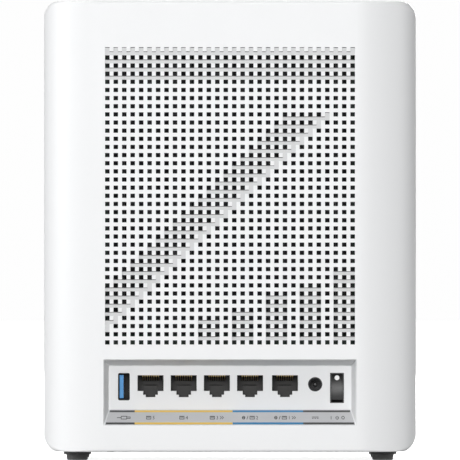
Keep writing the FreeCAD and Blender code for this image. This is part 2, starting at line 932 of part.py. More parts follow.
def make_jack_contacts(index):
    """The eight sprung wires along the top of a jack's socket."""
    number = index + 1
    body = new_body("jack_contacts_%d" % number, x=jack_centre(index) + " - 3.5 * pin_pitch")
    body.AllowCompound = True
    side = sketch_on(body, "jack_%d_wire_side" % number, "YZ_Plane")
    back = "(%s + jack_cavity)" % PANEL_BACK
    front = "(%s + 0.6)" % PANEL_BACK
    outline(
        side,
        [
            (back, "socket_top - 1.9"),
            (back, "socket_top - 1.5"),
            (front + " + 8", "socket_top - 2.2"),
            (front, "socket_top - 0.1"),
            (front, "socket_top - 0.5"),
            (front + " + 8", "socket_top - 2.6"),
        ],
    )
    wire = pad(body, "jack_%d_wire" % number, side, "pin_width", midplane=True)
    repeat(body, "jack_%d_wires" % number, wire, side, "N_Axis", "7 * pin_pitch", 8)


def make_jack_shield():
    """One folded steel shield around all five jacks."""
    left = "jack_first - jack_width / 2 - shield_gap"
    right = jack_centre(4) + " + jack_width / 2 + shield_gap"
    low, high = "jack_base - shield_gap", "jack_top + shield_gap"
    body = new_body("jack_shield", y="board_rear")
    face = sketch_on(body, "shield_face")
    rectangle(
        face,
        (left + " - shield_sheet", right + " + shield_sheet"),
        (low + " - shield_sheet", high + " + shield_sheet"),
    )
    rectangle(face, (left, right), (low, high))
    pad(body, "shield_tube", face, JACK_DEPTH)


def make_usb_port():
    """The upright serial socket: metal shell, blue tongue and flat contacts."""
    front = "(%s + usb_rim_depth + 0.1)" % PANEL_FRONT
    back = "(%s + usb_length)" % front
    shell = new_body("usb_shell", x="usb_x", y=back, z="usb_z")
    face = sketch_on(shell, "usb_shell_face")
    rectangle(face, across("usb_width - 0.04"), across("usb_height - 0.04"))
    pad(shell, "usb_shell_block", face, "usb_length")
    doc.recompute()
    block = doc.getObject("usb_shell_block")
    corners = shell.newObject("PartDesign::Fillet", "usb_shell_corners")
    corners.Base = (block, edges_along(block.Shape, Vector(0, 1, 0)))
    bind(corners, "Radius", "usb_corner")
    room = sketch_on(shell, "usb_shell_room", offset="usb_length")
    rectangle(room, across("usb_width - 2 * usb_sheet"), across("usb_height - 2 * usb_sheet"))
    pocket(shell, "usb_shell_cavity", room, "usb_length - usb_back")

    left = "(usb_x - usb_width / 2 + usb_sheet + 0.35)"
    tongue_root = "(%s - usb_back)" % back
    tongue_front = "(%s - tongue_length)" % tongue_root
    tongue = box(
        "usb_tongue",
        [
            (left, left + " + tongue_thickness"),
            (tongue_front, tongue_root),
            across("tongue_height", "usb_z"),
        ],
    )
    keep(tongue)

    strips = []
    contact_face = left + " + tongue_thickness"
    for number, offset in enumerate(("-3.5", "-1", "1", "3.5")):
        strips.append(
            box(
                "usb_strip_%d" % number,
                [
                    (contact_face, contact_face + " + 0.15"),
                    (tongue_front + " + 0.8", tongue_root),
                    across("1", "usb_z + " + offset),
                ],
            )
        )
    group("usb_contacts", strips)


def mouth_edge(shape, radius):
    """The name of a shape's round edge of that radius that lies furthest to the rear."""
    rounds = []
    for number, edge in enumerate(shape.Edges, start=1):
        if isinstance(edge.Curve, Part.Circle) and abs(edge.Curve.Radius - radius) < 1e-6:
            rounds.append((edge.CenterOfMass.y, "Edge%d" % number))
    return min(rounds)[1]


def make_power_inlet():
    """The round power inlet: black body with a collar in the panel, and its centre pin."""
    collar_front = "(%s + 0.1)" % PANEL_FRONT
    back = "(board_rear - 1.4)"
    floor = "(%s + inlet_depth)" % collar_front
    body = new_body("inlet_body", x="inlet_x", y=back, z="inlet_z")
    face = sketch_on(body, "inlet_face")
    rectangle(face, across("9"), across("11"))
    pad(body, "inlet_block", face, "%s - %s" % (back, PANEL_BACK))
    collar = sketch_on(body, "inlet_collar_face", offset="%s - %s" % (back, PANEL_BACK))
    circle(collar, "inlet_collar - 0.1")
    pad(body, "inlet_collar_round", collar, "%s - %s" % (PANEL_BACK, collar_front))
    bore = sketch_on(body, "inlet_bore_face", offset="%s - %s" % (back, collar_front))
    circle(bore, "inlet_bore")
    pocket(body, "inlet_bore_cut", bore, "inlet_depth")
    doc.recompute()
    bored = doc.getObject("inlet_bore_cut")
    entry = body.newObject("PartDesign::Chamfer", "inlet_entry_chamfer")
    entry.Base = (bored, [mouth_edge(bored.Shape, size("inlet_bore") / 2)])
    bind(entry, "Size", "inlet_entry")

    pin = new_body("inlet_pin", x="inlet_x", y=floor, z="inlet_z")
    pin_face = sketch_on(pin, "inlet_pin_face")
    circle(pin_face, "inlet_pin")
    pad(pin, "inlet_pin_rod", pin_face, "inlet_depth - 2.5")
    doc.recompute()
    rod = doc.getObject("inlet_pin_rod")
    tip = pin.newObject("PartDesign::Chamfer", "inlet_pin_tip")
    tip.Base = (rod, [mouth_edge(rod.Shape, size("inlet_pin") / 2)])
    tip.Size = 0.5

    tabs = []
    for number, (x, z) in enumerate((("-3", "-3.5"), ("3", "-3.5"), ("0", "3.5"))):
        tabs.append(
            box(
                "inlet_tab_%d" % number,
                [
                    across("2.4", "inlet_x + " + x),
                    (back, "board_rear"),
                    across("0.5", "inlet_z + " + z),
                ],
            )
        )
    group("inlet_terminals", tabs)


def make_power_switch():
    """The rocker switch: a black housing that fills the panel opening, and its rocker."""
    front = "(%s + 0.1)" % PANEL_FRONT
    back = "switch_back"
    pivot_y = "(%s + pivot_back)" % PANEL_FRONT
    body = new_body("switch_housing", x="switch_x", y=back, z="switch_z")
    face = sketch_on(body, "switch_face")
    rectangle(face, across("switch_width + 2"), across("switch_height + 1.8"))
    pad(body, "switch_block", face, "%s - %s" % (back, PANEL_BACK))
    nose = sketch_on(body, "switch_nose_face", offset="%s - %s" % (back, PANEL_BACK))
    rectangle(nose, across("switch_width - 0.02"), across("switch_height - 0.02"))
    pad(body, "switch_nose", nose, "%s - %s" % (PANEL_BACK, front))
    room = sketch_on(body, "switch_room_face", offset="%s - %s" % (back, front))
    room_width = "(switch_width - 2 * switch_rim)"
    rectangle(room, across(room_width), across("switch_height - 2 * switch_rim"))
    pocket(body, "switch_room", room, "switch_room_depth")
    bearings = sketch_on(body, "bearing_face", "YZ_Plane", room_width + " / 2 + bearing_depth")
    circle(bearings, "pivot_diameter + 0.1", "%s - (%s)" % (pivot_y, back), "0")
    pocket(body, "bearing_cut", bearings, room_width + " + 2 * bearing_depth")

    rocker = new_body("power_rocker", x="switch_x", y=pivot_y, z="switch_z")
    rocker.Placement.Rotation = FreeCAD.Rotation(Vector(1, 0, 0), -size("rocker_tilt"))
    side = sketch_on(rocker, "rocker_side", "YZ_Plane")
    outline(
        side,
        [
            ("-rocker_edge", "-rocker_half_height"),
            ("rocker_back - rocker_back_corner", "-rocker_half_height"),
            ("rocker_back", "-rocker_half_height / 2"),
            ("rocker_back", "rocker_half_height / 2"),
            ("rocker_back - rocker_back_corner", "rocker_half_height"),
            ("-rocker_edge", "rocker_half_height"),
        ],
    )
    pad(rocker, "rocker_block", side, "rocker_width", midplane=True)
    crown = sketch_on(rocker, "rocker_crown_side", "YZ_Plane")
    half_height, edge, top = size("rocker_half_height"), size("rocker_edge"), size("rocker_crown")
    ends = Vector(-edge, half_height, 0), Vector(-edge, -half_height, 0)
    crown.addGeometry(Part.Arc(ends[0], Vector(-top, 0, 0), ends[1]))
    crown.addGeometry(Part.LineSegment(ends[1], ends[0]))
    for point, place_z in ((1, "rocker_half_height"), (2, "-rocker_half_height")):
        hold_point(crown, 1, 3 - point, "-rocker_edge", place_z, ends[point - 1])
    pad(rocker, "rocker_crown_block", crown, "rocker_width", midplane=True)
    stub = sketch_on(rocker, "rocker_stub_face", "YZ_Plane")
    circle(stub, "pivot_diameter")
    pad(rocker, "rocker_stubs", stub, room_width + " + 2 * stub_length", midplane=True)

    tabs = []
    for number, offset in enumerate(("-4.5", "0", "4.5")):
        tabs.append(
            box(
                "switch_tab_%d" % number,
                [
                    across("0.8", "switch_x"),
                    (back, "board_rear"),
                    across("2.6", "switch_z + " + offset),
                ],
            )
        )
    group("switch_terminals", tabs)


# ---- Boards, coolers and antennas -----------------------------------------------------


def make_main_board():
    """The upright circuit board that carries the ports and the chips."""
    board = block_body(
        "main_board",
        across("board_width"),
        ("board_base", "board_top"),
        "board_rear",
        BOARD_FRONT,
    )
    holes = sketch_on(board, "board_holes", offset="board_thickness")
    for x, z in screw_spots("board_screw_x", "board_screw_base", "board_screw_top"):
        circle(holes, "screw_hole", x, z)
    pocket(board, "board_hole_cut", holes, "board_thickness")


def make_chips():
    """Chips and cans on both faces of the main board, and the pads that cool them."""
    chip_rear = "board_rear - chip_height"
    chip_x = "processor_x"
    block_body(
        "network_chip", across("chip_side"), across("chip_side", "network_z"), chip_rear, "board_rear"
    )
    front = BOARD_FRONT
    chip_front = front + " + chip_height"
    block_body(
        "processor_chip",
        across("chip_side", chip_x),
        across("chip_side", "processor_z"),
        front,
        chip_front,
    )
    memories = []
    for number, offset in enumerate(("- 21.5", "+ 20.5")):
        spans = [
            across("14", chip_x + " + 1"),
            (front, front + " + 1"),
            across("9", "processor_z " + offset),
        ]
        memories.append(box("memory_%d" % number, spans))
    group("memory_chips", memories)
    can_back = front + " + can_height"
    can = box("can_block", [("can_left", "can_right"), (front, can_back), ("can_base", "can_top")])
    room = box(
        "can_room",
        [
            ("can_left + can_sheet", "can_right - can_sheet"),
            (front, can_back + " - can_sheet"),
            ("can_base + can_sheet", "can_top - can_sheet"),
        ],
    )
    keep(cut("radio_can", can, room))
    pad_side = "chip_side - 2"
    cooler = front + " + front_cooler_gap"
    pads = [
        box(
            "pad_rear",
            [across(pad_side), ("board_rear - rear_cooler_gap", chip_rear), across(pad_side, "network_z")],
        ),
        box(
            "pad_front",
            [across(pad_side, chip_x), (chip_front, cooler), across(pad_side, "processor_z")],
        ),
        box(
            "pad_can",
            [("can_left + 4", "can_right - 4"), (can_back, cooler), ("can_base + 6", "can_top - 6")],
        ),
    ]
    group("thermal_pads", pads)
    transformers = []
    for index in range(5):
        spans = [across("12.6", jack_centre(index)), ("board_rear - 5", "board_rear"), ("44", "53")]
        transformers.append(box("transformer_%d" % index, spans))
    group("network_transformers", transformers)


def make_cooler(name, rear, front, span_z, fins_to_rear):
    """An extruded heat sink: a base plate with upright fins on one side."""
    width = size("cooler_width")
    fin_count = 19
    fin = 1.5
    body = block_body(name, across(str(width)), span_z, rear, front)
    length = "14.7" if fins_to_rear else "13.5"
    comb = sketch_on(body, name + "_fin_face", offset="(%s) - (%s)" % (front, rear) if fins_to_rear else "0")
    left = -width / 2
    rectangle(comb, (str(left), str(left + fin)), span_z)
    blade = pad(body, name + "_fin", comb, length)
    blade.Reversed = not fins_to_rear
    repeat(body, name + "_fins", blade, comb, "H_Axis", str(width - fin), fin_count)


def make_coolers():
    front = "board_rear - rear_cooler_gap"
    make_cooler("rear_heatsink", front + " - 3.5", front, ("58", "cooler_top"), True)
    rear = "(%s + front_cooler_gap)" % BOARD_FRONT
    make_cooler("front_heatsink", rear, rear + " + 3", ("60", "cooler_top"), False)


def make_inner_frame():
    """The plastic frame in the middle: it holds the board on four posts, the antennas on
    its sides, and stands on the base plate with a foot."""
    body = block_body(
        "inner_frame",
        across("frame_width"),
        (FLANGE_TOP, "frame_top"),
        "frame_rear",
        FRAME_FRONT,
    )
    window = sketch_on(body, "frame_window", offset="frame_thickness")
    rectangle(window, across("cooler_width"), ("40", "cooler_top"))
    for x, z in screw_spots("cover_screw_x", "cover_screw_base", "cover_screw_top"):
        circle(window, "screw_hole", x, z)
    pocket(body, "frame_window_cut", window, "frame_thickness")
    foot = sketch_on(body, "frame_foot_outline", "XY_Plane", FLANGE_TOP)
    foot_rear = "base_screw_rear - 6 - %s" % FRAME_FRONT
    foot_front = "base_screw_front + 6 - %s" % FRAME_FRONT
    rectangle(foot, across("frame_foot_width"), (foot_rear, foot_front))
    pad(body, "frame_foot", foot, "frame_thickness")
    foot_top = FLANGE_TOP + " + frame_thickness"
    foot_holes = sketch_on(body, "frame_foot_holes", "XY_Plane", foot_top)
    for x, y in screw_spots("base_screw_x", "base_screw_rear", "base_screw_front"):
        circle(foot_holes, "screw_hole", x, "%s - %s" % (y, FRAME_FRONT))
    pocket(body, "frame_foot_hole_cut", foot_holes, "frame_thickness")
    posts = sketch_on(body, "frame_posts_face", offset="frame_thickness")
    for x, z in screw_spots("board_screw_x", "board_screw_base", "board_screw_top"):
        circle(posts, "pillar_diameter", x, z)
    pad(body, "frame_posts", posts, "frame_rear - %s" % BOARD_FRONT)
    bores = sketch_on(body, "frame_bores_face", offset="%s - %s" % (FRAME_FRONT, BOARD_FRONT))
    for x, z in screw_spots("board_screw_x", "board_screw_base", "board_screw_top"):
        circle(bores, "screw_hole", x, z)
    pocket(body, "frame_bore_cut", bores, "10")


def make_antennas():
    """Five flat antenna boards: two on each side of the frame and one along its top."""
    number = 0
    for side in ("-", ""):
        inner = side + "frame_width / 2"
        outer = side + "(frame_width / 2 + antenna_thickness)"
        for low in ("38", "122"):
            number += 1
            span_x = (outer, inner) if side else (inner, outer)
            high = low + " + antenna_length"
            span_y = ("antenna_rear", "antenna_front")
            keep(box("antenna_%d" % number, [span_x, span_y, (low, high)]))
    span_y = ("antenna_rear + 2", "antenna_front - 2")
    span_z = ("frame_top", "frame_top + antenna_thickness")
    keep(box("antenna_5", [across("116"), span_y, span_z]))


def screw_along_y(name, x, z, seat, length):
    """A pan-head screw whose head stands on the rear side of seat."""
    head = cylinder_y(name + "_head", "screw_head", x, z, "(%s) - screw_head_height" % seat, seat)
    shank = cylinder_y(name + "_shank", "screw_shank", x, z, seat, "(%s) + %s" % (seat, length))
    return fused(name, [head, shank])


def make_screws():
    screws = []
    for number, (x, z) in enumerate(screw_spots("board_screw_x", "board_screw_base", "board_screw_top")):
        screws.append(screw_along_y("board_screw_%d" % number, x, z, "board_rear", "9"))
    group("board_screws", screws)
    screws = []
    for number, (x, z) in enumerate(screw_spots("cover_screw_x", "cover_screw_base", "cover_screw_top")):
        screws.append(screw_along_y("cover_screw_%d" % number, x, z, "frame_rear", "11"))
    group("cover_screws", screws)
    screws = []
    for number, (x, y) in enumerate(screw_spots("base_screw_x", "base_screw_rear", "base_screw_front")):
        name = "base_screw_%d" % number
        seat = "body_base + screw_head_height"
        head = cylinder_z(name + "_head", "screw_head", x, y, "body_base + 0.2", seat)
        shank = cylinder_z(name + "_shank", "screw_shank", x, y, seat, seat + " + 4.6")
        screws.append(fused(name, [head, shank]))
    group("base_screws", screws)


def make_status_light():
    """The status light at the front: a clear bar in a slot, and its small board behind."""
    keep(
        box(
            "light_pipe",
            [
                across("light_slot_width - 0.1"),
                ("light_pipe_rear", "body_depth / 2"),
                across("light_slot_height - 0.1", "light_z"),
            ],
        )
    )
    front = "light_board_front"
    block_body("light_board", across("30"), across("11", "light_z"), "light_board_rear", front)
    leds = []
    for number, x in enumerate(("-6", "0", "6")):
        spans = [across("2", x), (front, front + " + 1.6"), across("1.6", "light_z")]
        leds.append(box("led_%d" % number, spans))
    group("status_leds", leds)


# ---- Buttons and feet -----------------------------------------------------------------


def turned_body(name, x, y, profile):
    """A piece turned about a vertical axis, from a profile of (radius, height) formulas."""
    body = new_body(name, x, y)
    half = sketch_on(body, name + "_profile")
    outline(half, profile)
    revolve(body, name + "_turned", half)
    return body


def stepped_pin(name, x, diameter, base, stem_top):
    """A button: a pin in the base plate, a flange above it, and a stem for its switch."""
    flange_low = "(%s + 0.02)" % FLANGE_TOP
    flange_high = "(%s + 0.8)" % FLANGE_TOP
    flange = "((%s) / 2 + 0.9)" % diameter
    turned_body(
        name,
        x,
        "button_y",
        [
            ("0", base),
            ("(%s) / 2 - 0.15" % diameter, base),
            ("(%s) / 2" % diameter, "%s + 0.15" % base),
            ("(%s) / 2" % diameter, flange_low),
            (flange, flange_low),
            (flange, flange_high),
            ("0.8", flange_high),
            ("0.8", stem_top),
            ("0", stem_top),
        ],
    )


def make_buttons():
    """Two buttons in the base plate and the small switches above them."""
    stepped_pin("wps_button", "wps_x", "wps_diameter", "(body_base - wps_stand_out)", "9.05")
    stepped_pin("reset_button", "reset_x", "reset_diameter", "(body_base + 1)", "9.3")
    for name, x, side in (("wps_switch", "wps_x", "6"), ("reset_switch", "reset_x", "4.5")):
        case = box(name + "_case", [across(side, x), across(side, "button_y"), ("10.6", "13")])
        nub = cylinder_z(name + "_nub", "2.6", x, "button_y", "9.9", "10.6")
        keep(fused(name, [case, nub]))
    keep(box("button_board", [("-64", "-41"), ("-40.5", "board_rear"), ("13", "14.2")]))


def make_feet():
    number = 0
    for x, y in screw_spots("foot_x", "-foot_y", "foot_y"):
        number += 1
        turned_body(
            "foot_holder_%d" % number,
            x,
            y,
            [
                ("0", "foot_flange_base"),
                ("foot_flange / 2", "foot_flange_base"),
                ("foot_flange / 2", "body_base"),
                ("foot_stem / 2", "body_base"),
                ("foot_stem / 2", "body_base + 3"),
                ("0", "body_base + 3"),
            ],
        )
        turned_body(
            "foot_pad_%d" % number,
            x,
            y,
            [
                ("0", "0"),
                ("foot_base / 2 - 0.4", "0"),
                ("foot_base / 2", "0.4"),
                ("foot_top / 2", "foot_flange_base"),
                ("0", "foot_flange_base"),
            ],
        )


# ---- Build, check and write -----------------------------------------------------------


def check_document():
    """Stops if any object failed, or any finished piece is empty or not valid."""
    doc.recompute()
    for item in doc.Objects:
        if "Invalid" in item.State or "Error" in item.State:
            raise RuntimeError("%s is %s" % (item.Name, item.State))
    for item in parts:
        if item.Shape.isNull() or not item.Shape.isValid():
            raise RuntimeError("%s has no valid shape" % item.Label)
        if not item.Shape.Solids:
            raise RuntimeError("%s has no solid" % item.Label)


def write_parts():
    os.makedirs("parts", exist_ok=True)
    for item in parts:
        item.Shape.exportStep("parts/%s.step" % item.Label)
        print("%-22s %2d solid %10.1f mm3" % (item.Label, len(item.Shape.Solids), item.Shape.Volume))


make_covers()
make_base_plate()
make_grille()
make_port_bay()
make_port_label()
for jack in range(5):
    make_jack(jack)
    make_jack_contacts(jack)
make_jack_shield()
make_usb_port()
make_power_inlet()
make_power_switch()
make_main_board()
make_chips()
make_coolers()
make_inner_frame()
make_antennas()
make_screws()
make_status_light()
make_buttons()
make_feet()
check_document()
write_parts()
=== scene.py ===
"""Looks for the wireless router: materials, printed pieces, camera, floor and studio light."""

import math

import bmesh
import bpy
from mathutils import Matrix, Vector
from mathutils.bvhtree import BVHTree


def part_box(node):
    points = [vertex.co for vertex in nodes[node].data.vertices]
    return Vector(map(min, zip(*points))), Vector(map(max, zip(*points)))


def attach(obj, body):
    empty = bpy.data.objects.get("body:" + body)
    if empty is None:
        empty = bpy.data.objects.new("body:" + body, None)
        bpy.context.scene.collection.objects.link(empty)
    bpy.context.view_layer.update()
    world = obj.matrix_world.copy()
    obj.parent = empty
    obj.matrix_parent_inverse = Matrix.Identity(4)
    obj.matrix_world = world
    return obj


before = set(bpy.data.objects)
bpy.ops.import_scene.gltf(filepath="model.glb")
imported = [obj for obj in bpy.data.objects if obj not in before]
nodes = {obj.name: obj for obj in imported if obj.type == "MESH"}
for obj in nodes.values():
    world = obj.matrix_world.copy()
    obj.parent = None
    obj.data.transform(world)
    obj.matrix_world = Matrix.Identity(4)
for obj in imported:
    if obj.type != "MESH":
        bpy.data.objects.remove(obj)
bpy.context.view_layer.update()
MM = 0.001
JACKS = 5
FEET = 4
ANTENNAS = 5

# ---- Names and places read from the frame -----------------------------------------------


def numbered(stem, count):
    """The names of a numbered set of nodes, such as foot_pad_1 to foot_pad_4."""
    return ["%s_%d" % (stem, number) for number in range(1, count + 1)]


def middle(node):
    """The centre of a node's box."""
    low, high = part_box(node)
    return (low + high) / 2


LABEL_LOW, LABEL_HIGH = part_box("port_label")
JACK_X = [middle(name).x for name in numbered("ethernet_jack", JACKS)]
USB_X = middle("usb_shell").x
INLET_X = middle("inlet_body").x
SWITCH = middle("switch_housing")


# ---- Material helpers -------------------------------------------------------------------


def srgb(red, green, blue):
    """A colour given as 0..255 screen values, as the linear colour that shaders take."""
    def linear(value):
        value /= 255
        return value / 12.92 if value <= 0.04045 else ((value + 0.055) / 1.055) ** 2.4
    return (linear(red), linear(green), linear(blue), 1.0)


class Surface:
    """A Principled material with colour variation, roughness variation and a fine bump."""

    def __init__(self, name, color, roughness, metallic=0.0):
        self.material = bpy.data.materials.new(name)
        self.material.use_nodes = True
        self.tree = self.material.node_tree
        self.shader = self.tree.nodes["Principled BSDF"]
        self.shader.inputs["Base Color"].default_value = color
        self.shader.inputs["Roughness"].default_value = roughness
        self.shader.inputs["Metallic"].default_value = metallic
        self.color = color
        self.roughness = roughness
        self.place = self.tree.nodes.new("ShaderNodeTexCoord").outputs["Object"]

    def set(self, **sockets):
        """Sets shader inputs by name, with an underscore for each space."""
        for name, value in sockets.items():
            self.shader.inputs[name.replace("_", " ")].default_value = value
        return self

    def noise(self, scale, detail=3.0, stretch=(1, 1, 1)):
        """Noise of 0..1 in the object's own space; a larger stretch makes it finer along that axis."""
        mapping = self.tree.nodes.new("ShaderNodeMapping")
        mapping.inputs["Scale"].default_value = stretch
        self.tree.links.new(self.place, mapping.inputs["Vector"])
        texture = self.tree.nodes.new("ShaderNodeTexNoise")
        texture.inputs["Scale"].default_value = scale
        texture.inputs["Detail"].default_value = detail
        self.tree.links.new(mapping.outputs["Vector"], texture.inputs["Vector"])
        return texture.outputs["Fac"]

    def vary_color(self, amount, scale, stretch=(1, 1, 1)):
        """Makes the colour lighter and darker by amount over patches."""
        darker = tuple(c * (1 - amount) for c in self.color[:3])
        lighter = tuple(min(1, c * (1 + amount)) for c in self.color[:3])
        mix = self.tree.nodes.new("ShaderNodeMix")
        mix.data_type = "RGBA"
        mix.inputs["A"].default_value = darker + (1,)
        mix.inputs["B"].default_value = lighter + (1,)
        self.tree.links.new(self.noise(scale, stretch=stretch), mix.inputs["Factor"])
        self.tree.links.new(mix.outputs["Result"], self.shader.inputs["Base Color"])
        return self

    def vary_roughness(self, amount, scale, stretch=(1, 1, 1)):
        """Makes the surface rougher and smoother by amount over patches."""
        spread = self.tree.nodes.new("ShaderNodeMapRange")
        spread.inputs["To Min"].default_value = self.roughness - amount
        spread.inputs["To Max"].default_value = self.roughness + amount
        self.tree.links.new(self.noise(scale, stretch=stretch), spread.inputs["Value"])
        self.tree.links.new(spread.outputs["Result"], self.shader.inputs["Roughness"])
        return self

    def bump(self, scale, depth, strength=1.0, detail=2.0, stretch=(1, 1, 1)):
        """Adds a fine grain; depth is in metres."""
        item = self.tree.nodes.new("ShaderNodeBump")
        item.inputs["Distance"].default_value = depth
        item.inputs["Strength"].default_value = strength
        self.tree.links.new(self.noise(scale, detail, stretch), item.inputs["Height"])
        self.tree.links.new(item.outputs["Normal"], self.shader.inputs["Normal"])
        return self


# ---- Materials --------------------------------------------------------------------------

HOUSING_WHITE = srgb(244, 245, 246)
DULL_SHEEN = 0.25


def white_surface(name, color):
    """Fine spark-eroded satin ABS: nearly even white, with a very small grain."""
    surface = Surface(name, color, 0.46)
    return surface.vary_color(0.006, 35).vary_roughness(0.05, 160).bump(2600, 0.00002, 0.35)


def grille_white():
    """The grille's plastic, with painted shade that steps with the depth behind its face.

    The sunk relief is painted a light grey as its shade; its narrow slopes and the walls of
    the holes are painted dark as their shadow.
    """
    # Painted shade by depth: the face keeps the housing white, the slopes and hole walls get painted
    # shadow, and the sunk relief gets a painted grey shade.
    painted_shade_by_depth = [
        (0.0, HOUSING_WHITE),
        (0.03, srgb(74, 74, 75)),
        (0.48, srgb(221, 222, 223)),
        (0.52, srgb(70, 70, 71)),
    ]
    surface = white_surface("grille_white", HOUSING_WHITE)
    low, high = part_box("vent_grille")
    split = surface.tree.nodes.new("ShaderNodeSeparateXYZ")
    surface.tree.links.new(surface.place, split.inputs["Vector"])
    depth = surface.tree.nodes.new("ShaderNodeMapRange")
    depth.inputs["From Min"].default_value = low.y
    depth.inputs["From Max"].default_value = high.y
    surface.tree.links.new(split.outputs["Y"], depth.inputs["Value"])
    # This ramp paints the relief's shade and shadow into the grille's colour.
    painted_shade_ramp = surface.tree.nodes.new("ShaderNodeValToRGB")
    painted_shade_ramp.color_ramp.interpolation = "CONSTANT"
    while len(painted_shade_ramp.color_ramp.elements) < len(painted_shade_by_depth):
        painted_shade_ramp.color_ramp.elements.new(1.0)
    for element, (position, color) in zip(painted_shade_ramp.color_ramp.elements, painted_shade_by_depth):
        element.position = position
        element.color = color
    surface.tree.links.new(depth.outputs["Result"], painted_shade_ramp.inputs["Fac"])
    surface.tree.links.new(painted_shade_ramp.outputs["Color"], surface.shader.inputs["Base Color"])
    return surface.material


def label_grey():
    """The label's printed film."""
    return (Surface("label_grey", srgb(196, 197, 199), 0.55)
            .vary_color(0.02, 60).vary_roughness(0.05, 300)
            .bump(2000, 0.00001, 0.3).material)


def black_plastic(name, color):
    """Satin moulded plastic."""
    return (Surface(name, color, 0.5)
            .vary_color(0.12, 180).vary_roughness(0.08, 400)
            .bump(3000, 0.00002, 0.5).material)


def jack_plastic():
    """The jacks' dark grey glass-filled plastic."""
    return (Surface("jack_plastic", srgb(49, 48, 47), 0.5)
            .vary_color(0.10, 260).vary_roughness(0.08, 500)
            .bump(2600, 0.00003, 0.5).set(Specular_IOR_Level=DULL_SHEEN).material)


def gloss_black():
    """The rocker's polished plastic."""
    return (Surface("gloss_black", srgb(16, 16, 17), 0.3)
            .vary_color(0.15, 120).vary_roughness(0.05, 260)
            .bump(900, 0.000008, 0.25).set(Specular_IOR_Level=0.22).material)


def blue_plastic():
    """The serial socket's tongue."""
    return (Surface("blue_plastic", srgb(30, 138, 206), 0.42)
            .vary_color(0.05, 200).vary_roughness(0.06, 500)
            .bump(2400, 0.00002, 0.4).material)


def black_metal():
    """The serial socket's painted steel shell."""
    return (Surface("black_metal", srgb(7, 7, 8), 0.5)
            .vary_color(0.15, 200).vary_roughness(0.1, 300, (1, 12, 1))
            .bump(1500, 0.00001, 0.4, stretch=(1, 8, 1))
            .set(Specular_IOR_Level=DULL_SHEEN).material)


def brushed_metal(name, color, roughness, stretch):
    """Bare metal whose grain is finer along one axis than along the others."""
    return (Surface(name, color, roughness, 1.0)
            .vary_color(0.05, 150, stretch).vary_roughness(0.1, 500, stretch)
            .bump(1200, 0.00001, 0.5, stretch=stretch).material)


def black_aluminium():
    """The rear cooler's black anodised aluminium, with a grain that is finest upwards."""
    return (Surface("black_aluminium", srgb(24, 24, 26), 0.55, 0.2)
            .vary_color(0.1, 120, (1, 1, 12)).vary_roughness(0.08, 300, (1, 1, 12))
            .bump(1500, 0.00002, 0.4, stretch=(1, 1, 10)).material)


def circuit_board():
    """Green-black solder mask with faint copper tracks under it."""
    surface = Surface("circuit_board", srgb(18, 44, 32), 0.35)
    tracks = surface.tree.nodes.new("ShaderNodeTexBrick")
    tracks.inputs["Scale"].default_value = 160
    tracks.inputs["Color1"].default_value = srgb(16, 40, 29)
    tracks.inputs["Color2"].default_value = srgb(20, 52, 36)
    tracks.inputs["Mortar"].default_value = srgb(28, 66, 44)
    surface.tree.links.new(surface.place, tracks.inputs["Vector"])
    surface.tree.links.new(tracks.outputs["Color"], surface.shader.inputs["Base Color"])
    return surface.vary_roughness(0.06, 300).bump(900, 0.00003, 0.3).material


def chip_black():
    """The chips' moulded resin."""
    return (Surface("chip_black", srgb(30, 30, 31), 0.6)
            .vary_color(0.1, 300).vary_roughness(0.06, 600).bump(3200, 0.00002, 0.4).material)


def soft_pad():
    """The putty-like pads between the chips and the coolers."""
    return (Surface("thermal_pad", srgb(150, 160, 178), 0.75)
            .vary_color(0.06, 200).vary_roughness(0.05, 300).bump(1400, 0.00005, 0.4).material)


def foot_rubber():
    """Dark grey matt rubber."""
    return (Surface("foot_rubber", srgb(92, 92, 92), 0.78)
            .vary_color(0.12, 250).vary_roughness(0.06, 500).bump(2600, 0.00004, 0.6).material)


def clear_plastic():
    """The milky clear plastic of the status light."""
    return (Surface("clear_plastic", srgb(232, 236, 240), 0.3)
            .vary_color(0.02, 200).vary_roughness(0.05, 300).bump(1500, 0.00001, 0.3)
            .set(Transmission_Weight=0.5, IOR=1.49).material)


def ink(name, color):
    """Screen-printed ink."""
    return (Surface(name, color, 0.5)
            .vary_color(0.03, 400).vary_roughness(0.06, 900).bump(3000, 0.00001, 0.3).material)


# ---- Materials on the CAD nodes ---------------------------------------------------------


def dress(material, *names):
    """Gives the named CAD nodes one material."""
    for name in names:
        slots = nodes[name].data.materials
        slots.clear()
        slots.append(material)


BLACK = black_plastic("black_plastic", srgb(34, 34, 36))
DEEP_BLACK = black_plastic("deep_black_plastic", srgb(9, 9, 9))
STEEL = brushed_metal("steel", srgb(170, 171, 175), 0.32, (1, 10, 1))
GOLD = brushed_metal("contact_gold", srgb(158, 136, 92), 0.38, (10, 1, 1))
DARK_PIN = brushed_metal("dark_pin", srgb(72, 72, 72), 0.55, (1, 6, 1))
ZINC = brushed_metal("screw_steel", srgb(160, 162, 166), 0.35, (1, 1, 6))
ALUMINIUM = brushed_metal("bare_aluminium", srgb(205, 207, 210), 0.38, (1, 1, 12))
BOARD = circuit_board()

dress(white_surface("white_plastic", HOUSING_WHITE).material, "rear_cover", "front_cover", "base_plate")
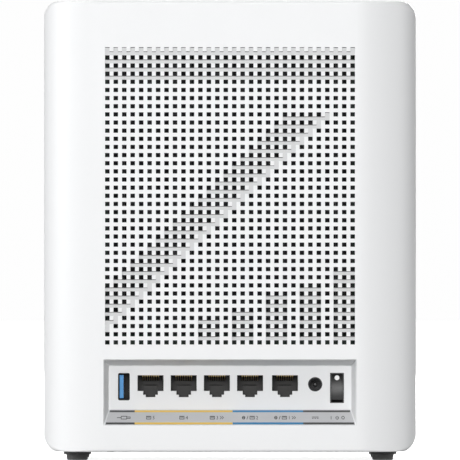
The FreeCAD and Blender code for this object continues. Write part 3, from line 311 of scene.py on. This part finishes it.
# The grille's material carries painted shade and shadow in its relief.
dress(grille_white(), "vent_grille")
dress(white_surface("bay_white", srgb(227, 228, 229)).material, "port_bay")
dress(label_grey(), "port_label")
dress(BLACK, "inlet_body", "switch_housing", "inner_frame")
dress(BLACK, "wps_switch", "reset_switch", "network_transformers")
dress(DEEP_BLACK, "wps_button", "reset_button")
dress(DEEP_BLACK, *numbered("foot_holder", FEET))
dress(jack_plastic(), *numbered("ethernet_jack", JACKS))
dress(GOLD, *numbered("jack_contacts", JACKS))
dress(gloss_black(), "power_rocker")
dress(blue_plastic(), "usb_tongue")
dress(black_metal(), "usb_shell")
dress(DARK_PIN, "inlet_pin", "usb_contacts")
dress(STEEL, "jack_shield", "inlet_terminals", "switch_terminals", "radio_can")
dress(black_aluminium(), "rear_heatsink")
dress(ALUMINIUM, "front_heatsink")
dress(BOARD, "main_board", "light_board", "button_board")
dress(BOARD, *numbered("antenna", ANTENNAS))
dress(chip_black(), "network_chip", "processor_chip", "memory_chips")
dress(soft_pad(), "thermal_pads")
dress(foot_rubber(), *numbered("foot_pad", FEET))
dress(clear_plastic(), "light_pipe", "status_leds")
dress(ZINC, "board_screws", "cover_screws", "base_screws")


# ---- Printing ---------------------------------------------------------------------------

INK_LIFT = 0.02 * MM
INK_THICK = 0.03 * MM
WELD = 0.001 * MM
ARC_STEP = 12

DARK_INK = ink("ink_dark", srgb(78, 78, 79))
YELLOW_INK = ink("ink_yellow", srgb(232, 196, 96))
BLUE_INK = ink("ink_blue", srgb(60, 132, 180))
SYMBOL_INK = ink("ink_symbol", srgb(74, 75, 77))
WHITE_INK = ink("ink_white", srgb(250, 250, 250))


class Drawing:
    """Flat shapes drawn in a plane of millimetres, made into one thin printed piece."""

    def __init__(self):
        self.mesh = bmesh.new()

    def polygon(self, points):
        """A filled outline."""
        corners = [self.mesh.verts.new((u * MM, v * MM, 0)) for u, v in points]
        self.mesh.faces.new(corners)

    def bar(self, left, right, low, high):
        """A filled rectangle."""
        self.polygon([(left, low), (right, low), (right, high), (left, high)])

    def frame_box(self, left, right, low, high, width):
        """A rectangle drawn as a line of that width inside its bounds."""
        self.bar(left, right, high - width, high)
        self.bar(left, right, low, low + width)
        self.bar(left, left + width, low + width, high - width)
        self.bar(right - width, right, low + width, high - width)

    def arc(self, u, v, radius, width, start=0.0, end=360.0, stretch=1.0):
        """A ring or part of one, in degrees; stretch squeezes it sideways."""
        steps = max(6, int(abs(end - start) / ARC_STEP))
        inner = radius - width
        for step in range(steps):
            first, last = [math.radians(start + (end - start) * k / steps) for k in (step, step + 1)]
            quad = []
            for turn, size in ((first, radius), (last, radius), (last, inner), (first, inner)):
                quad.append((u + size * stretch * math.cos(turn), v + size * math.sin(turn)))
            self.polygon(quad)

    def disc(self, u, v, radius):
        """A filled circle."""
        turns = [math.radians(angle) for angle in range(0, 360, ARC_STEP)]
        self.polygon([(u + radius * math.cos(turn), v + radius * math.sin(turn)) for turn in turns])

    def numeral(self, digit, u, v, height):
        """A plain digit, centred on u, v."""
        text = bpy.data.curves.new("digit", "FONT")
        text.body = str(digit)
        text.resolution_u = 3
        holder = bpy.data.objects.new("digit", text)
        bpy.context.scene.collection.objects.link(holder)
        bpy.context.view_layer.update()
        shape = bpy.data.meshes.new_from_object(holder)
        xs = [vertex.co.x for vertex in shape.vertices]
        ys = [vertex.co.y for vertex in shape.vertices]
        scale = height * MM / (max(ys) - min(ys))
        for vertex in shape.vertices:
            vertex.co.x = u * MM + (vertex.co.x - (min(xs) + max(xs)) / 2) * scale
            vertex.co.y = v * MM + (vertex.co.y - (min(ys) + max(ys)) / 2) * scale
        self.mesh.from_mesh(shape)
        bpy.data.objects.remove(holder)
        bpy.data.curves.remove(text)
        bpy.data.meshes.remove(shape)

    def finish(self, name, material, place, body):
        """Gives the drawing its thickness, lays it out with place(u, v, lift) and adds it."""
        bmesh.ops.remove_doubles(self.mesh, verts=self.mesh.verts, dist=WELD)
        flat = list(self.mesh.faces)
        solid = bmesh.ops.extrude_face_region(self.mesh, geom=flat)
        for item in solid["geom"]:
            if isinstance(item, bmesh.types.BMVert):
                item.co.z += INK_THICK
        for vertex in self.mesh.verts:
            vertex.co = place(vertex.co.x, vertex.co.y, vertex.co.z)
        bmesh.ops.recalc_face_normals(self.mesh, faces=self.mesh.faces)
        mesh = bpy.data.meshes.new(name)
        self.mesh.to_mesh(mesh)
        self.mesh.free()
        mesh.materials.append(material)
        piece = bpy.data.objects.new(name, mesh)
        bpy.context.scene.collection.objects.link(piece)
        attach(piece, body)


# ---- Stripes on the label ---------------------------------------------------------------

LABEL_SHEET = 0.25 * MM
LABEL_HEIGHT = LABEL_HIGH.z - LABEL_SHEET - LABEL_LOW.z
LABEL_DEPTH = LABEL_HIGH.y - LABEL_LOW.y
LABEL_SLOPE = LABEL_HEIGHT / LABEL_DEPTH
SIDE_TAPER = 0.225


def on_label(x, height, lift):
    """A point on the sloping label, at that height above its lower edge."""
    rise = LABEL_SLOPE / math.hypot(1, LABEL_SLOPE)
    run = 1 / math.hypot(1, LABEL_SLOPE)
    out = INK_LIFT + lift
    y = LABEL_LOW.y + height / LABEL_SLOPE
    z = LABEL_LOW.z + LABEL_SHEET + height
    return Vector((x, y - rise * out, z + run * out))


def between(left, right, shift):
    """The place halfway between two ports, moved sideways by shift, in millimetres."""
    return (left + right) / 2 / MM + shift


def make_stripes():
    """Two thin stripes along the label, in four coloured stretches that group the ports.

    Their ends follow the bay's side walls, which close in towards the back.
    """
    height = LABEL_HEIGHT / MM
    side_margin = 0.25
    stripes = ((0.12, 1.0), (height - 1.15, height - 0.35))
    left_end = LABEL_LOW.x / MM
    right_end = LABEL_HIGH.x / MM
    first_break = between(USB_X, JACK_X[0], -1.1)
    second_break = between(JACK_X[2], JACK_X[3], -0.4)
    third_break = between(JACK_X[4], INLET_X, 1.4)
    stretches = [
        ("print_dark_left", DARK_INK, left_end, first_break),
        ("print_yellow", YELLOW_INK, first_break, second_break),
        ("print_blue", BLUE_INK, second_break, third_break),
        ("print_dark_right", DARK_INK, third_break, right_end),
    ]
    for name, material, left, right in stretches:
        drawing = Drawing()
        for low, high in stripes:
            depth = (low + high) / 2 / height * LABEL_DEPTH / MM
            closed_in = SIDE_TAPER * depth + side_margin
            start = max(left, left_end + closed_in)
            stop = min(right, right_end - closed_in)
            drawing.bar(start, stop, low, high)
        drawing.finish(name, material, on_label, "router")


# ---- Pictograms on the label ------------------------------------------------------------

LINE = 0.27
GLYPH_HEIGHT = 1.5
HALF_GLYPH = GLYPH_HEIGHT / 2
DIGIT_WIDTH = 1.0
GLYPH_GAP = 0.6
GLYPH_LEVEL = 3.10


def port_glyph(drawing, u, v):
    """A network socket: an outlined box with three contacts."""
    half_width = 1.15
    drawing.frame_box(u - half_width, u + half_width, v - HALF_GLYPH, v + HALF_GLYPH, LINE)
    for tooth in (-0.5, 0, 0.5):
        drawing.bar(u + tooth - LINE / 2, u + tooth + LINE / 2, v - 0.05, v + HALF_GLYPH - LINE)


def globe_glyph(drawing, u, v):
    """A globe: a circle with a meridian and an equator."""
    drawing.arc(u, v, HALF_GLYPH, LINE)
    drawing.arc(u, v, HALF_GLYPH, LINE * 0.8, stretch=0.45)
    drawing.bar(u - HALF_GLYPH + LINE, u + HALF_GLYPH - LINE, v - LINE / 2, v + LINE / 2)


def slash_glyph(drawing, u, v):
    """A slanting stroke that parts two uses of a port."""
    low, high = v - HALF_GLYPH, v + HALF_GLYPH
    drawing.polygon([(u - 0.4, low), (u - 0.1, low), (u + 0.4, high), (u + 0.1, high)])


def fast_glyph(drawing, u, v):
    """Two arrow heads for a fast port."""
    half = HALF_GLYPH - 0.1
    for left in (u - 0.95, u - 0.05):
        far = left + 0.35
        inner = left + 0.65
        tip = left + 1.0
        drawing.polygon([(left, v + half), (inner, v), (tip, v), (far, v + half)])
        drawing.polygon([(inner, v), (left, v - half), (far, v - half), (tip, v)])


def plug_glyph(drawing, u, v):
    """A flat serial plug with its lead."""
    grip_left, grip_right, reach = u - 1.3, u + 1.5, 3.1
    half_nose = HALF_GLYPH * 0.6
    drawing.frame_box(grip_left, grip_right, v - HALF_GLYPH, v + HALF_GLYPH, LINE)
    drawing.frame_box(grip_right - LINE, u + reach, v - half_nose, v + half_nose, LINE)
    drawing.bar(u - reach, grip_left, v - LINE / 2, v + LINE / 2)


def direct_current_glyph(drawing, u, v):
    """A full line over a dashed one."""
    half_length, half_dash, half_gap = 1.5, 0.37, 0.15
    drawing.bar(u - half_length, u + half_length, v + half_gap, v + half_gap + LINE)
    for dash in (half_dash - half_length, 0, half_length - half_dash):
        drawing.bar(u + dash - half_dash, u + dash + half_dash, v - half_gap - LINE, v - half_gap)


def power_glyph(drawing, u, v):
    """The broken circle of a power switch, between its on and off marks."""
    break_start, break_end = 125, 415
    on_mark = u - 2.9
    off_mark = u + 2.7
    drawing.arc(u, v - 0.05, HALF_GLYPH, LINE, break_start, break_end)
    drawing.bar(u - LINE / 2, u + LINE / 2, v, v + HALF_GLYPH)
    drawing.bar(on_mark, on_mark + LINE, v - HALF_GLYPH, v + HALF_GLYPH)
    drawing.arc(off_mark, v, HALF_GLYPH, LINE)


# Each pictogram's function and its width.
GLYPHS = {
    "port": (port_glyph, 2.3),
    "globe": (globe_glyph, 1.5),
    "slash": (slash_glyph, 0.8),
    "fast": (fast_glyph, 1.9),
    "plug": (plug_glyph, 6.2),
    "direct_current": (direct_current_glyph, 3.0),
    "power": (power_glyph, 6.9),
}


def make_symbols():
    """Plain pictograms and port numbers on the label, one group under each port."""
    drawing = Drawing()
    groups = [
        (USB_X, ["plug"]),
        (JACK_X[0], ["port", 5]),
        (JACK_X[1], ["port", 4]),
        (JACK_X[2], ["port", 3, "fast"]),
        (JACK_X[3], ["globe", "slash", "port", 2]),
        (JACK_X[4], ["globe", "slash", "port", 1, "fast"]),
        (INLET_X, ["direct_current"]),
        (SWITCH.x, ["power"]),
    ]
    for x, names in groups:
        widths = [GLYPHS[name][1] if name in GLYPHS else DIGIT_WIDTH for name in names]
        left = x / MM - (sum(widths) + GLYPH_GAP * (len(names) - 1)) / 2
        for name, width in zip(names, widths):
            spot = left + width / 2
            if name in GLYPHS:
                GLYPHS[name][0](drawing, spot, GLYPH_LEVEL)
            else:
                drawing.numeral(name, spot, GLYPH_LEVEL, GLYPH_HEIGHT)
            left += width + GLYPH_GAP
    drawing.finish("print_symbols", SYMBOL_INK, on_label, "router")


# ---- Dot on the rocker ------------------------------------------------------------------


def make_rocker_mark():
    """The white dot near the rocker's upper end, laid on its curved face."""
    radius = 1.1
    rings = 4
    above_middle = 4.65 * MM
    clear_of_face = 20 * MM
    inwards = Vector((0, 1, 0))
    rocker = nodes["power_rocker"].data
    faces = [polygon.vertices for polygon in rocker.polygons]
    tree = BVHTree.FromPolygons([vertex.co for vertex in rocker.vertices], faces)
    start_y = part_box("power_rocker")[0].y - clear_of_face
    centre = Vector((middle("power_rocker").x, start_y, SWITCH.z + above_middle))

    def on_face(u, v, lift):
        spot = tree.ray_cast(centre + Vector((u, 0, v)), inwards)[0]
        return spot - inwards * (INK_LIFT + lift)

    drawing = Drawing()
    step = radius / rings
    for ring in range(rings - 1):
        drawing.arc(0, 0, radius - ring * step, step)
    drawing.disc(0, 0, step)
    drawing.finish("rocker_mark", WHITE_INK, on_face, "power_rocker")


make_stripes()
make_symbols()
make_rocker_mark()


# ---- Camera and floor -------------------------------------------------------------------

VIEW_HEIGHT = 105.75 * MM
VIEW_DISTANCE = 4.0
VIEW_WIDTH = 212.9 * MM
SENSOR = 36.0
FLOOR_HALF = 6.0
FLOOR_LEVEL = -0.1 * MM
FLOOR_GLOW = 0.8


def make_camera():
    """A long lens that looks square at the ports."""
    data = bpy.data.cameras.new("camera")
    data.sensor_width = SENSOR
    data.lens = SENSOR * VIEW_DISTANCE / VIEW_WIDTH
    data.clip_start = 0.05
    data.clip_end = 50
    camera = bpy.data.objects.new("camera", data)
    camera.location = (0, -VIEW_DISTANCE, VIEW_HEIGHT)
    camera.rotation_euler = (math.radians(90), 0, 0)
    bpy.context.scene.collection.objects.link(camera)
    bpy.context.scene.camera = camera


def make_floor():
    """A wide pale floor just under the feet."""
    mesh = bpy.data.meshes.new("floor")
    signs = ((-1, -1), (1, -1), (1, 1), (-1, 1))
    corners = [(x * FLOOR_HALF, y * FLOOR_HALF, FLOOR_LEVEL) for x, y in signs]
    mesh.from_pydata(corners, [], [(0, 1, 2, 3)])
    floor = bpy.data.objects.new("floor", mesh)
    bpy.context.scene.collection.objects.link(floor)
    surface = Surface("floor", srgb(250, 250, 250), 0.6).vary_color(0.004, 2).vary_roughness(0.05, 8)
    surface.set(Emission_Color=(1, 1, 1, 1), Emission_Strength=FLOOR_GLOW)
    mesh.materials.append(surface.material)
    floor.visible_diffuse = False


# ---- Studio light -----------------------------------------------------------------------

SKY_LEVEL = 0.175
SKY_SLOPE = (-0.06, -0.06, 0.19)
LEAST_SKY = 0.05
SEEN_SKY = 0.99
LAMP_TARGET = Vector((0, 0, 0.10))

# Each lamp's name, place, width, height and power.
LAMPS = [
    ("key", (-0.9, -1.5, 2.4), 1.0, 1.0, 6),
    ("soft_box", (-0.16, -2.25, 0.55), 0.9, 0.7, 32),
    ("side_box", (-2.2, -0.1, 0.60), 0.9, 0.8, 21),
    ("right_box", (2.2, 0.05, 0.60), 0.9, 0.6, 9),
    ("front_box", (0.35, 2.25, 0.70), 1.0, 0.8, 30),
]


def make_lamp(name, place, width, height, power):
    """A soft rectangular lamp that faces the router."""
    data = bpy.data.lights.new(name, "AREA")
    data.shape = "RECTANGLE"
    data.size = width
    data.size_y = height
    data.energy = power
    light = bpy.data.objects.new(name, data)
    light.location = place
    light.rotation_euler = (LAMP_TARGET - Vector(place)).to_track_quat("-Z", "Y").to_euler()
    bpy.context.scene.collection.objects.link(light)


def make_sky():
    """A soft room of light: brighter from above, from the left and from the ports' side.

    The camera itself sees an even white.
    """
    world = bpy.data.worlds.new("studio")
    world.use_nodes = True
    bpy.context.scene.world = world
    tree = world.node_tree
    direction = tree.nodes.new("ShaderNodeTexCoord").outputs["Generated"]
    slope = tree.nodes.new("ShaderNodeVectorMath")
    slope.operation = "DOT_PRODUCT"
    slope.inputs[1].default_value = SKY_SLOPE
    tree.links.new(direction, slope.inputs[0])
    level = tree.nodes.new("ShaderNodeMath")
    level.operation = "ADD"
    level.inputs[1].default_value = SKY_LEVEL
    tree.links.new(slope.outputs["Value"], level.inputs[0])
    least = tree.nodes.new("ShaderNodeMath")
    least.operation = "MAXIMUM"
    least.inputs[1].default_value = LEAST_SKY
    tree.links.new(level.outputs["Value"], least.inputs[0])
    light = tree.nodes["Background"]
    light.inputs["Color"].default_value = (1, 1, 1, 1)
    tree.links.new(least.outputs["Value"], light.inputs["Strength"])
    seen = tree.nodes.new("ShaderNodeBackground")
    seen.inputs["Color"].default_value = (1, 1, 1, 1)
    seen.inputs["Strength"].default_value = SEEN_SKY
    choose = tree.nodes.new("ShaderNodeMixShader")
    path = tree.nodes.new("ShaderNodeLightPath")
    tree.links.new(path.outputs["Is Camera Ray"], choose.inputs["Fac"])
    tree.links.new(light.outputs["Background"], choose.inputs[1])
    tree.links.new(seen.outputs["Background"], choose.inputs[2])
    tree.links.new(choose.outputs["Shader"], tree.nodes["World Output"].inputs["Surface"])


make_camera()
make_floor()
make_sky()
for lamp in LAMPS:
    make_lamp(*lamp)
bpy.context.scene.view_settings.view_transform = "Standard"
